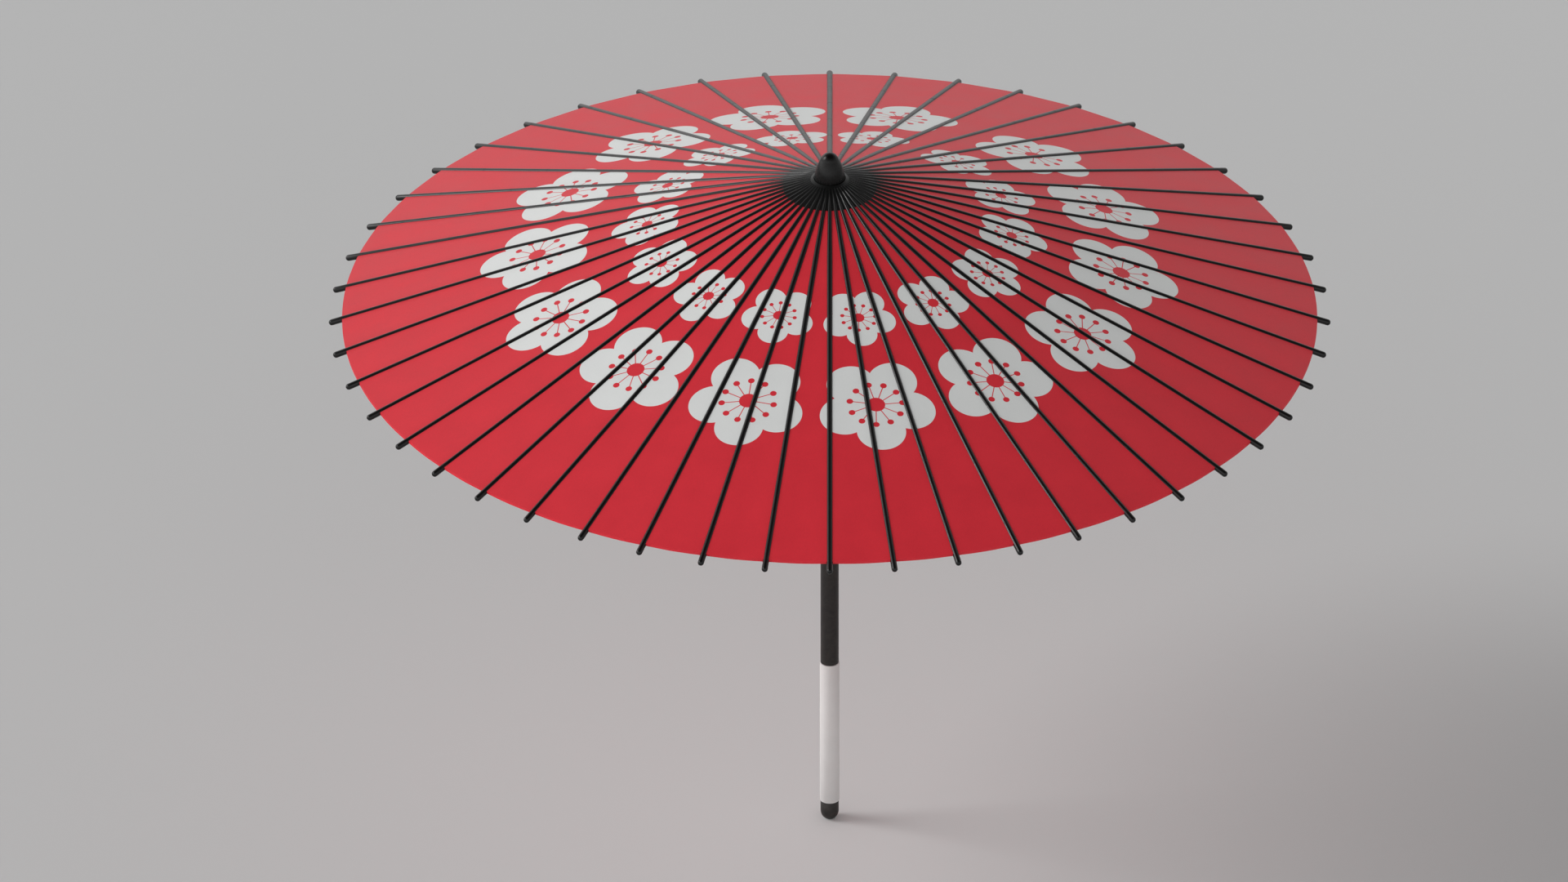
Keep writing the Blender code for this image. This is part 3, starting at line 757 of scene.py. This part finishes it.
def stretcher_skins(angle):
    """A stretcher: a flat rod with two tines round the rib's lug, and a blade at the runner."""
    place = on_stretcher(angle)
    reach = math.hypot(JOINT_RADIUS - PIVOT_RADIUS, JOINT_Z - RUNNER_Z)
    x = np.array([0.0030, 0.0036, 0.0050, 0.06, 0.12, reach - 0.022, reach - 0.013, reach - 0.0075,
                  reach, reach + 0.0006, reach + 0.0010])
    width = np.array([0.7, 1.45, 1.6, 1.6, 1.6, 1.6, 1.15, 0.45, 0.45, 0.42, 0.3]) * 0.001
    height = np.array([0.6, 1.1, 1.3, 1.3, 1.3, 1.3, 1.3, 1.3, 1.3, 0.9, 0.4]) * 0.001
    rod, rod_sheet = bar(place, x, width, height, steps=12)
    turn = np.linspace(math.pi / 2.0, 1.5 * math.pi, 9)
    outline = np.stack((TINE_START + TINE_ROUND * np.cos(turn), TINE_ROUND * np.sin(turn)), axis=-1)
    outline = np.concatenate((outline, ((TINE_END, -TINE_ROUND), (TINE_END, TINE_ROUND))))
    skins, sheets = [rod], [rod_sheet]
    for low, high in ((TINE_NEAR, TINE_FAR), (-TINE_FAR, -TINE_NEAR)):
        tine, tine_sheet = slab(place, outline, low, high)
        skins.append(tine)
        sheets.append(tine_sheet)
    return skins, [sheet + (7.9 * angle, 0.0) for sheet in sheets]


def pin_skin(angle):
    """The short pin through a stretcher's tines and the rib's lug, along the hinge's axis."""
    turn = np.linspace(0.0, 2.0 * math.pi, 12, endpoint=False)
    outline = np.stack((PIN_RADIUS * np.cos(turn), PIN_RADIUS * np.sin(turn)), axis=-1)
    return slab(on_stretcher(angle), outline, -PIN_HALF_LENGTH, PIN_HALF_LENGTH)


class UMBRELLA_OT_ribs(Operator):
    """Make the hinged ribs and the ribs between them, which ride on the hinged rib beside them"""

    bl_idname = "umbrella.ribs"
    bl_label = "Ribs"

    def execute(self, context):
        finish = rib_finish()
        for number in NUMBERS:
            angle = bearing_of(number)
            skins, sheets = rib_skins(angle)
            made = piece(f"bamboo_rib_{number}", skins, [finish], sheets)
            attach(made, f"rib_{number}")
            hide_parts(f"rib_{number}")
            skins, sheets = rib_skins(angle + HALF_PITCH)
            between = piece(f"bamboo_rib_between_{number}", skins, [finish], sheets)
            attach(between, f"rib_{number}")
            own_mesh(between)
            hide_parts("between_ribs")
        return {"FINISHED"}


class UMBRELLA_OT_stretchers(Operator):
    """Make the stretchers that join the ribs to the runner, with their pins"""

    bl_idname = "umbrella.stretchers"
    bl_label = "Stretchers"

    def execute(self, context):
        finishes = [stretcher_finish()] * 3 + [steel_finish()]
        for number in NUMBERS:
            angle = bearing_of(number)
            for kind, turn in (("strip", angle), ("between", angle + HALF_PITCH)):
                skins, sheets = stretcher_skins(turn)
                pin, pin_sheet = pin_skin(turn)
                made = piece(f"stretcher_{kind}_{number}", skins + [pin], finishes, sheets + [pin_sheet])
                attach(made, f"stretcher_{number}")
                if turn == angle:
                    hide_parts(f"stretcher_{number}")
                    continue
                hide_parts("between_stretchers")
                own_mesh(made)
        return {"FINISHED"}


def thread_skin(angle, radius, height, rise):
    """A thread round the axis as far as the next rib on each side, where it's raised by rise.

    At b from the rib its middle is height + rise sin^2(pi b / (2 HALF_PITCH)) up, and its ring is round.
    """
    half = sizes().thread_width / 2.0
    turn = np.linspace(-HALF_PITCH, HALF_PITCH, 17)[:, None]
    lift = height + rise * np.sin(math.pi / 2.0 * turn / HALF_PITCH) ** 2
    round_it = np.linspace(0.0, 2.0 * math.pi, 8, endpoint=False)
    rings = polar(radius + half * np.cos(round_it), angle + turn, lift + half * np.sin(round_it))
    run = np.broadcast_to(radius * turn, rings.shape[:2])
    side = np.broadcast_to(half * round_it, rings.shape[:2])
    return skin(rings), np.stack((run, side), axis=-1)


class UMBRELLA_OT_threads(Operator):
    """Make the threads that tie the ribs near the rim and the stretchers half way along"""

    bl_idname = "umbrella.threads"
    bl_label = "Threads"

    def execute(self, context):
        s = sizes()
        finish = thread_finish()
        gap, inset, over_rib, half_stretcher = 0.0003, 0.005, 0.0012, 0.0014
        dip = s.thread_width / 2.0 + gap
        rim = s.rim_radius - inset
        rim_z = above_ribs(rim, -s.rib_width / 2.0) - dip
        middle = (JOINT_RADIUS + PIVOT_RADIUS) / 2.0
        middle_z = (JOINT_Z + RUNNER_Z) / 2.0
        runs = (
            ("rim_thread", rim, rim_z, dip + over_rib, "rib", "between_ribs", RIB_KEEP, HUB_Z),
            ("stretcher_thread", middle, middle_z - half_stretcher - dip, dip, "stretcher",
             "between_stretchers", STRETCHER_KEEP, RUNNER_Z),
        )
        for name, radius, height, rise, body, node, keep, anchor in runs:
            for number in NUMBERS:
                angle = bearing_of(number)
                thread, sheet = thread_skin(angle, radius, height, rise)
                made = piece(f"{name}_{number}", [thread], [finish], [sheet])
                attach(made, f"{body}_{number}")
                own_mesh(made)
                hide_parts(node)
        return {"FINISHED"}


def slotted_ring(radius, half_width, floor):
    """A circle of points with a notch at each rib: its sides are parallel and its floor is at this radius.

    Where the circle is inside the floor's radius the notch points lie on the circle.
    """
    land = np.linspace(0.0, 1.0, 5)
    points = []
    edge = math.asin(half_width / radius)
    base = min(floor, radius)
    inner = math.asin(half_width / base)
    for number in range(48):
        middle = bearing_of("01") + number * HALF_PITCH
        turns = np.concatenate(((-inner, inner), edge + land * (HALF_PITCH - 2.0 * edge)))
        radii = np.concatenate(((base, base), np.full(len(land), radius)))
        points.append(np.stack((radii, middle + turns), axis=-1))
    return np.concatenate(points)


def slotted(profile):
    """A profile of (radius, height) pairs carried round the axis, notched for every rib."""
    rings = []
    for radius, height in profile:
        ring = slotted_ring(radius, SLOT_HALF_WIDTH, SLOT_FLOOR_RADIUS)
        rings.append(polar(ring[:, 0], ring[:, 1], height))
    return skin(np.array(rings), looped=True)


class UMBRELLA_OT_hub_and_runner(Operator):
    """Make the slotted head hub and the slotted runner that slides on the pole"""

    bl_idname = "umbrella.hub_and_runner"
    bl_label = "Hub and Runner"

    def execute(self, context):
        bore = SHAFT_RADIUS + 0.0003
        neck_end = HUB_Z - 0.022
        flange = HUB_Z - 0.009
        hub = [
            (bore, HUB_Z + 0.0012), (0.0160, HUB_Z + 0.0012), (0.0166, HUB_Z + 0.0011),
            (HUB_RADIUS - 0.0003, above_ribs(HUB_RADIUS, 0.0012)),
            (HUB_RADIUS, above_ribs(HUB_RADIUS, 0.0006)),
            (HUB_RADIUS, flange + 0.0006), (HUB_RADIUS - 0.0006, flange), (NECK_RADIUS + 0.0012, flange),
            (NECK_RADIUS + 0.0003, flange - 0.0003), (NECK_RADIUS, flange - 0.0012),
            (NECK_RADIUS, neck_end + 0.0006), (NECK_RADIUS - 0.0006, neck_end), (bore, neck_end),
        ]
        bore = SHAFT_RADIUS + 0.0004
        low = RUNNER_Z - 0.006
        groove = 0.0004
        runner = [
            (bore + 0.0003, RUNNER_Z + 0.006), (HUB_RADIUS - 0.0006, RUNNER_Z + 0.006),
            (HUB_RADIUS, RUNNER_Z + 0.0054), (HUB_RADIUS, low + 0.0006), (HUB_RADIUS - 0.0006, low),
            (SKIRT_RADIUS + 0.0012, low), (SKIRT_RADIUS + 0.0003, low - 0.0003),
            (SKIRT_RADIUS, low - 0.0012), (SKIRT_RADIUS, low - 0.0140),
            (SKIRT_RADIUS - groove, low - 0.0146), (SKIRT_RADIUS, low - 0.0152),
            (SKIRT_RADIUS, low - 0.0172), (SKIRT_RADIUS - groove, low - 0.0178),
            (SKIRT_RADIUS, low - 0.0184),
            (SKIRT_RADIUS, RUNNER_BOTTOM + 0.0006), (SKIRT_RADIUS - 0.0006, RUNNER_BOTTOM),
            (bore + 0.0003, RUNNER_BOTTOM), (bore, RUNNER_BOTTOM + 0.0003), (bore, RUNNER_Z + 0.0057),
        ]
        for name, body, profile, node in (("slotted_hub", "root", hub, "head_hub"),
                                          ("slotted_runner", "runner", runner, "runner")):
            made = piece(name, [slotted(profile)], [wood_finish()], sharp=35.0)
            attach(made, body)
            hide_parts(node)
        return {"FINISHED"}


def pole_rings(stations, slot):
    """Rings of the pole at (radius, height, notched) stations.

    A notched ring leaves the circle at the slot's sides and runs in along them to the slot's floor.
    A plain ring keeps as many points, all on the circle.
    """
    half, floor = slot
    on_side = 0.0045
    edge = math.asin(half / SHAFT_RADIUS)
    circle = np.linspace(edge, 2.0 * math.pi - edge, 67)
    rings = []
    for radius, height, notched in stations:
        around = np.stack((radius * np.cos(circle), radius * np.sin(circle)), axis=-1)
        if notched:
            inside = ((on_side, -half), (floor, -half), (floor, 0.0), (floor, half), (on_side, half))
        else:
            turn = np.linspace(-edge, edge, 7)[1:-1]
            inside = np.stack((radius * np.cos(turn), radius * np.sin(turn)), axis=-1)
        ring = np.concatenate((around, inside))
        rings.append(np.insert(ring, 2, height, axis=1))
    return np.array(rings)


class UMBRELLA_OT_pole(Operator):
    """Make the pole with the catch's slot, the white grip and the rounded end"""

    bl_idname = "umbrella.pole"
    bl_label = "Pole, Grip and End"

    def execute(self, context):
        grip_low, grip_high = (corner.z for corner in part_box("grip_sleeve"))
        grip_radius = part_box("grip_sleeve")[1].x
        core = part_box("grip_sleeve")[1].x - 0.0019
        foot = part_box("shaft")[0].z
        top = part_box("shaft")[1].z
        shoulder = HUB_Z + 0.0012
        slot_top = RUNNER_BOTTOM
        slot_low = slot_top - 0.0346
        slot_half_width, slot_floor = 0.0011, 0.0008
        radius = SHAFT_RADIUS
        stations = [
            (core - 0.0003, foot, False), (core, foot + 0.0003, False), (core, grip_high + 0.0003, False),
            (radius, grip_high + 0.0003, False), (radius, slot_low, False), (radius, slot_low, True),
            (radius, slot_top, True), (radius, slot_top, False), (radius, shoulder, False),
            (0.0040, shoulder, False), (0.0040, top - 0.0004, False), (0.0036, top, False),
        ]
        rings = pole_rings(stations, (slot_half_width, slot_floor))
        pole = finish_of("pole_lacquer", pole_lacquer)
        shaft = piece("lacquered_pole", [skin(rings)], [pole], sharp=30.0)
        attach(shaft, "root")
        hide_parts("shaft")

        profile = rounded([
            (core + 0.0003, grip_high - 0.0004), (grip_radius, grip_high), (grip_radius, grip_low),
            (core + 0.0003, grip_low + 0.0004),
        ], 0.0006)
        sleeve = piece("white_grip", [turned(profile, 96, looped=True)], [grip_wrap()], sharp=60.0)
        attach(sleeve, "root")
        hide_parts("grip_sleeve")

        cap_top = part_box("end_cap")[1].z
        turn = np.linspace(0.0, math.pi / 2.0, 20)
        foot_radius = 0.0020
        dome_radius = foot_radius + (radius - foot_radius) * np.cos(turn)
        dome = np.stack((dome_radius, radius * (1.0 - np.sin(turn))), axis=-1)
        edge = 0.0002
        upper = ((core, foot), (core, cap_top), (radius - edge, cap_top), (radius, cap_top - edge))
        profile = np.concatenate((upper, dome))
        end = piece("rounded_end", [turned(profile, 96)], [pole], sharp=60.0)
        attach(end, "root")
        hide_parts("end_cap")
        return {"FINISHED"}


class UMBRELLA_OT_finial(Operator):
    """Make the black bullet-shaped finial on the crown"""

    bl_idname = "umbrella.finial"
    bl_label = "Finial"

    def execute(self, context):
        low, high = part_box("finial")
        base_radius, top_radius = high.x, 0.0078
        edge, bore, bore_depth = 0.0004, 0.0043, 0.0117
        centre = high.z - top_radius
        turn = np.linspace(0.02, math.radians(72.0), 20)
        arc = np.stack((top_radius * np.sin(turn), centre + top_radius * np.cos(turn)), axis=-1)
        shoulder, shoulder_z = arc[-1]
        share = np.linspace(0.0, 1.0, 25)[1:-1]
        side = np.stack((
            shoulder + (base_radius - shoulder) * (1.0 - (1.0 - share) ** 2),
            shoulder_z + (low.z + edge - shoulder_z) * share,
        ), axis=-1)
        base = ((base_radius, low.z + edge), (base_radius - edge, low.z), (bore, low.z),
                (bore, low.z + bore_depth))
        lacquer = finish_of("finial_lacquer", turned_wood, "finial_lacquer", colours().lacquer_black, 0.27)
        made = piece("finial_knob", [turned(np.concatenate((arc, side, base)), 96)], [lacquer], sharp=50.0)
        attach(made, "root")
        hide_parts("finial")
        return {"FINISHED"}


class UMBRELLA_OT_catch(Operator):
    """Give the catch and the hub's cross pin their metals; both keep the frame's own shape"""

    bl_idname = "umbrella.catch"
    bl_label = "Catch and Pin"

    def execute(self, context):
        brass = finish_of("catch_brass", worn_metal, "catch_brass", (0.55, 0.40, 0.16), 0.36)
        for node, finish in (("catch", brass), ("hub_pin", steel_finish())):
            for holder in frame["nodes"][node].material_slots:
                holder.material = finish
        return {"FINISHED"}


class UMBRELLA_OT_stage(Operator):
    """Make the pale floor, the soft light and the camera"""

    bl_idname = "umbrella.stage"
    bl_label = "Stage"

    def execute(self, context):
        scene = context.scene
        reach = 30.0
        mesh = bpy.data.meshes.new("floor")
        corners = [(-reach, -reach, 0.0), (reach, -reach, 0.0), (reach, reach, 0.0), (-reach, reach, 0.0)]
        mesh.from_pydata(corners, [], [(0, 1, 2, 3)])
        mesh.materials.append(seamless_floor())
        floor = bpy.data.objects.new("floor", mesh)
        scene.collection.objects.link(floor)

        lamp = bpy.data.lights.new("soft_key", "SUN")
        lamp.energy = 1.35
        lamp.angle = math.radians(27.0)
        key = bpy.data.objects.new("soft_key", lamp)
        key.rotation_mode = "QUATERNION"
        key.rotation_quaternion = Vector((-0.82, 0.10, 0.54)).to_track_quat("Z", "Y")
        scene.collection.objects.link(key)

        world = bpy.data.worlds.new("studio")
        world.use_nodes = True
        room = Nodes(world.node_tree)
        right, back, up = room.node("ShaderNodeSeparateXYZ", None, {0: room.node("ShaderNodeTexCoord")[0]})
        low = 1.0 - up * up
        side = 1.0 - right * 0.40 - back * 0.04
        room.put(world.node_tree.nodes["Background"].inputs["Strength"], low * low * side * 1.42)
        room.put(world.node_tree.nodes["Background"].inputs["Color"], (1.0, 1.0, 1.0))
        scene.world = world
        scene.view_settings.view_transform = "Standard"

        lens = bpy.data.cameras.new("camera")
        lens.type = "ORTHO"
        lens.ortho_scale = 1.3152
        lens.clip_end = 50.0
        camera = bpy.data.objects.new("camera", lens)
        elevation = math.radians(30.0)
        aim = np.array((-0.0383, -0.0503, 0.3933))
        distance = 3.0
        camera.location = aim + distance * np.array((0.0, -math.cos(elevation), math.sin(elevation)))
        camera.rotation_euler = (math.pi / 2.0 - elevation, 0.0, 0.0)
        scene.collection.objects.link(camera)
        scene.camera = camera
        return {"FINISHED"}


class UMBRELLA_PT_build(Panel):
    """The umbrella's pieces, sizes and colours"""

    bl_label = "Oil Paper Umbrella"
    bl_space_type = "VIEW_3D"
    bl_region_type = "UI"
    bl_category = "Umbrella"

    def draw(self, context):
        for group in (context.scene.umbrella_sizes, context.scene.umbrella_colours):
            box = self.layout.box()
            for name in type(group).__annotations__:
                box.prop(group, name)
        for operator in STEPS:
            self.layout.operator(operator.bl_idname)


STEPS = (
    UMBRELLA_OT_stage,
    UMBRELLA_OT_canopy_paper,
    UMBRELLA_OT_crown_paper,
    UMBRELLA_OT_ribs,
    UMBRELLA_OT_stretchers,
    UMBRELLA_OT_threads,
    UMBRELLA_OT_hub_and_runner,
    UMBRELLA_OT_pole,
    UMBRELLA_OT_finial,
    UMBRELLA_OT_catch,
)
CLASSES = (UmbrellaSizes, UmbrellaColours, *STEPS, UMBRELLA_PT_build)


def register():
    """Registers the classes and hangs the sizes and colours on the scene."""
    for cls in CLASSES:
        bpy.utils.register_class(cls)
    bpy.types.Scene.umbrella_sizes = PointerProperty(type=UmbrellaSizes)
    bpy.types.Scene.umbrella_colours = PointerProperty(type=UmbrellaColours)


def unregister():
    """Undoes register."""
    del bpy.types.Scene.umbrella_colours
    del bpy.types.Scene.umbrella_sizes
    for cls in reversed(CLASSES):
        bpy.utils.unregister_class(cls)


def main():
    """Builds every piece in order."""
    register()
    bpy.ops.umbrella.stage()
    bpy.ops.umbrella.canopy_paper()
    bpy.ops.umbrella.crown_paper()
    bpy.ops.umbrella.ribs()
    bpy.ops.umbrella.stretchers()
    bpy.ops.umbrella.threads()
    bpy.ops.umbrella.hub_and_runner()
    bpy.ops.umbrella.pole()
    bpy.ops.umbrella.finial()
    bpy.ops.umbrella.catch()


if __name__ == "__main__":
    main()
